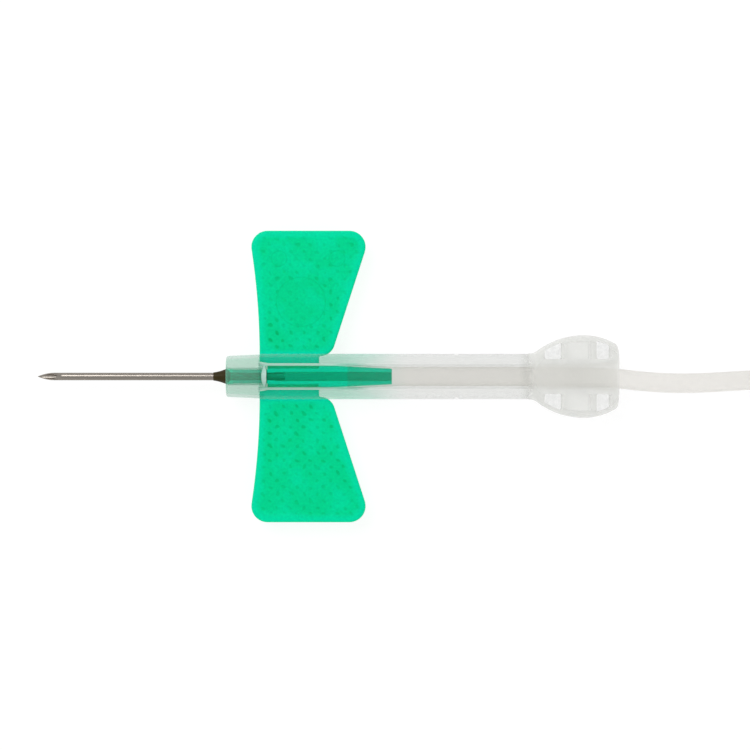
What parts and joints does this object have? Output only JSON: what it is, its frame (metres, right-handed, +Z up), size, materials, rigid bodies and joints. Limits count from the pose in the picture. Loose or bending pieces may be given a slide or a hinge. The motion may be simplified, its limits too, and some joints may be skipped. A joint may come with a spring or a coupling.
{
  "type": "butterfly needle",
  "caption": "Winged needle set: bevelled 21 gauge cannula in a green winged hub, translucent slotted safety shield that slides forward over the point, and soft clear tubing to a luer fitting.",
  "frame": {"origin": "on the surface that the set lies on, below the middle of the length from the needle's point to the drum's rear face, without the tubing past the drum", "axes": "+X from the needle's point towards the tubing, +Y across the wings to the right of the needle's direction, +Z up, the way the bevel faces"},
  "size_m": [0.1011, 0.046, 0.0065],
  "materials": {
    "cannula_steel": "drawn and electropolished stainless tube",
    "cured_adhesive": "cured dark epoxy with a smooth skin",
    "green_moulding": "soft translucent green moulding, satin with a fine grip texture",
    "clear_moulding": "natural milky translucent polypropylene moulding",
    "clear_tubing": "soft clear extruded tubing, slightly hazy",
    "clear_fitting": "clear moulded fitting",
    "white_moulding": "white moulded plug"
  },
  "bodies": {
    "root": {"needle_cannula": "cannula_steel", "needle_adhesive": "cured_adhesive", "hub": "green_moulding", "tubing": "clear_tubing", "tubing_coil": "clear_tubing", "tubing_tail": "clear_tubing", "luer_connector": "clear_fitting", "luer_plug": "white_moulding"},
    "sliding_shield": {"shield": "clear_moulding", "front_cap": "clear_moulding"},
    "left_wing": {"wing_left": "green_moulding"},
    "right_wing": {"wing_right": "green_moulding"}
  },
  "joints": [
    {"name": "shield_slide", "type": "slide", "parent": "root", "child": "sliding_shield", "axis": [-1, 0, 0], "range_m": [0, 0.0215]},
    {"name": "left_wing_fold", "type": "hinge", "parent": "root", "child": "left_wing", "pos_m": [-0.003, -0.00281, 0.00283], "axis": [-1, 0, 0], "range_deg": [0, 100], "stiffness_Nm_per_rad": 0.0001},
    {"name": "right_wing_fold", "type": "hinge", "parent": "root", "child": "right_wing", "pos_m": [-0.003, 0.00281, 0.00283], "axis": [1, 0, 0], "range_deg": [0, 100], "stiffness_Nm_per_rad": 0.0001}
  ]
}
